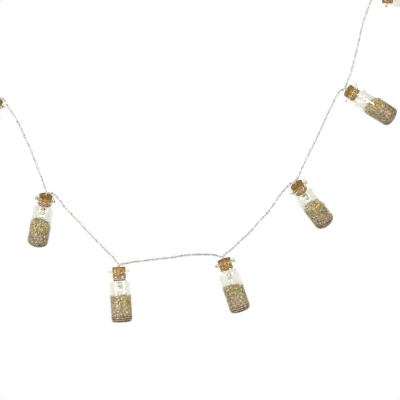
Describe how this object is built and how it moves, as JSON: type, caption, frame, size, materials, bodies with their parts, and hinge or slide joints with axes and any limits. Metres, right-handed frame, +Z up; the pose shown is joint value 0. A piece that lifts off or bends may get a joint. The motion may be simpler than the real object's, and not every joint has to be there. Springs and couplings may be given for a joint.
{
  "type": "jar string lights",
  "caption": "Hung string of small corked glass jars, each part filled with glitter and lit by a lamp under its cork, on a twisted wire pair with a battery box.",
  "frame": {"origin": "crest of the wire where it hangs over the left support", "axes": "+Z up, +X along the string to the right, -Y towards the viewer"},
  "size_m": [0.5281, 0.0667, 0.4422],
  "materials": {
    "vial_glass": "clear, glossy",
    "cork": "natural cork, matt with darker pits",
    "glitter": "champagne glitter flakes in clear glue",
    "lamp": "water-clear lamp body",
    "wire": "clear insulation over tinned strands",
    "battery_shell": "moulded, fine texture",
    "contact_metal": "nickel-plated spring steel",
    "cell_jacket": "plain printed sleeve, no marks",
    "switch_plastic": "moulded"
  },
  "bodies": {
    "string": {"wire_lead": "wire", "wire_run_1": "wire", "wire_run_2": "wire", "wire_run_3": "wire", "wire_run_4": "wire", "wire_run_5": "wire", "wire_run_6": "wire", "wire_run_7": "wire", "wire_run_8": "wire", "wire_run_9": "wire", "battery_case": "battery_shell", "battery_cell_left": "cell_jacket", "battery_cell_right": "cell_jacket", "contact_plus": "contact_metal", "contact_minus_spring": "contact_metal", "contact_bridge_spring": "contact_metal", "switch_body": "switch_plastic"},
    "hanger_01": {"cork_01": "cork", "lamp_01": "lamp"},
    "jar_01": {"vial_01": "vial_glass", "glitter_01": "glitter"},
    "hanger_02": {"cork_02": "cork", "lamp_02": "lamp"},
    "jar_02": {"vial_02": "vial_glass", "glitter_02": "glitter"},
    "hanger_03": {"cork_03": "cork", "lamp_03": "lamp"},
    "jar_03": {"vial_03": "vial_glass", "glitter_03": "glitter"},
    "hanger_04": {"cork_04": "cork", "lamp_04": "lamp"},
    "jar_04": {"vial_04": "vial_glass", "glitter_04": "glitter"},
    "hanger_05": {"cork_05": "cork", "lamp_05": "lamp"},
    "jar_05": {"vial_05": "vial_glass", "glitter_05": "glitter"},
    "hanger_06": {"cork_06": "cork", "lamp_06": "lamp"},
    "jar_06": {"vial_06": "vial_glass", "glitter_06": "glitter"},
    "hanger_07": {"cork_07": "cork", "lamp_07": "lamp"},
    "jar_07": {"vial_07": "vial_glass", "glitter_07": "glitter"},
    "hanger_08": {"cork_08": "cork", "lamp_08": "lamp"},
    "jar_08": {"vial_08": "vial_glass", "glitter_08": "glitter"},
    "hanger_09": {"cork_09": "cork", "lamp_09": "lamp"},
    "jar_09": {"vial_09": "vial_glass", "glitter_09": "glitter"},
    "hanger_10": {"cork_10": "cork", "lamp_10": "lamp"},
    "jar_10": {"vial_10": "vial_glass", "glitter_10": "glitter"},
    "battery_cover": {"battery_cover": "battery_shell"},
    "switch_slider": {"switch_slider": "switch_plastic"}
  },
  "joints": [
    {"name": "swing_01", "type": "hinge", "parent": "string", "child": "hanger_01", "pos_m": [0.0553, -0.019, -0.1219], "axis": [0.4618, 0, -0.887], "range_deg": [-28, 12]},
    {"name": "uncork_01", "type": "slide", "parent": "hanger_01", "child": "jar_01", "axis": [-0.3822, 0.342, -0.8585], "range_m": [0, 0.03]},
    {"name": "swing_02", "type": "hinge", "parent": "string", "child": "hanger_02", "pos_m": [0.1012, -0.019, -0.2134], "axis": [0.5813, 0.0002, -0.8137], "range_deg": [-28, 16]},
    {"name": "uncork_02", "type": "slide", "parent": "hanger_02", "child": "jar_02", "axis": [-0.1753, 0.4617, -0.8695], "range_m": [0, 0.03]},
    {"name": "swing_03", "type": "hinge", "parent": "string", "child": "hanger_03", "pos_m": [0.16968, -0.01895, -0.282], "axis": [0.939, 0.0013, -0.344], "range_deg": [-28, 28]},
    {"name": "uncork_03", "type": "slide", "parent": "hanger_03", "child": "jar_03", "axis": [0.061, 0.0349, -0.9975], "range_m": [0, 0.03]},
    {"name": "swing_04", "type": "hinge", "parent": "string", "child": "hanger_04", "pos_m": [0.26884, -0.01877, -0.27481], "axis": [0.9046, -0.0002, 0.4262], "range_deg": [-28, 28]},
    {"name": "uncork_04", "type": "slide", "parent": "hanger_04", "child": "jar_04", "axis": [0.313, 0.165, -0.9353], "range_m": [0, 0.03]},
    {"name": "swing_05", "type": "hinge", "parent": "string", "child": "hanger_05", "pos_m": [0.3367, -0.019, -0.2033], "axis": [0.5857, -0.0012, 0.8105], "range_deg": [-28, 22]},
    {"name": "uncork_05", "type": "slide", "parent": "hanger_05", "child": "jar_05", "axis": [0.5448, 0.4695, -0.6948], "range_m": [0, 0.03]},
    {"name": "swing_06", "type": "hinge", "parent": "string", "child": "hanger_06", "pos_m": [0.3846, -0.019, -0.1146], "axis": [0.4147, 0, 0.91], "range_deg": [-28, 22]},
    {"name": "uncork_06", "type": "slide", "parent": "hanger_06", "child": "jar_06", "axis": [0.8178, 0.309, -0.4856], "range_m": [0, 0.03]},
    {"name": "swing_07", "type": "hinge", "parent": "string", "child": "hanger_07", "pos_m": [0.417, -0.019, -0.0271], "axis": [0.4238, 0, 0.9058], "range_deg": [-28, 12]},
    {"name": "uncork_07", "type": "slide", "parent": "hanger_07", "child": "jar_07", "axis": [0.997, 0.0698, -0.0348], "range_m": [0, 0.03]},
    {"name": "swing_08", "type": "hinge", "parent": "string", "child": "hanger_08", "pos_m": [0.4662, -0.019, 0.0598], "axis": [0.4924, 0, 0.8704], "range_deg": [-28, 12]},
    {"name": "uncork_08", "type": "slide", "parent": "hanger_08", "child": "jar_08", "axis": [0.7002, 0.1392, -0.7002], "range_m": [0, 0.03]},
    {"name": "swing_09", "type": "hinge", "parent": "string", "child": "hanger_09", "pos_m": [0.4807, 0.019, 0.075], "axis": [0, -1, 0], "range_deg": [-28, 28]},
    {"name": "uncork_09", "type": "slide", "parent": "hanger_09", "child": "jar_09", "axis": [0, 0.1736, -0.9848], "range_m": [0, 0.03]},
    {"name": "swing_10", "type": "hinge", "parent": "string", "child": "hanger_10", "pos_m": [0.4807, 0.019, -0.0247], "axis": [0, -1, 0], "range_deg": [-28, 28]},
    {"name": "uncork_10", "type": "slide", "parent": "hanger_10", "child": "jar_10", "axis": [0, 0, -1], "range_m": [0, 0.03]},
    {"name": "cover_slide", "type": "slide", "parent": "string", "child": "battery_cover", "axis": [0, 0, -1], "range_m": [0, 0.062]},
    {"name": "switch", "type": "slide", "parent": "string", "child": "switch_slider", "axis": [1, 0, 0], "range_m": [0, 0.0035]}
  ]
}
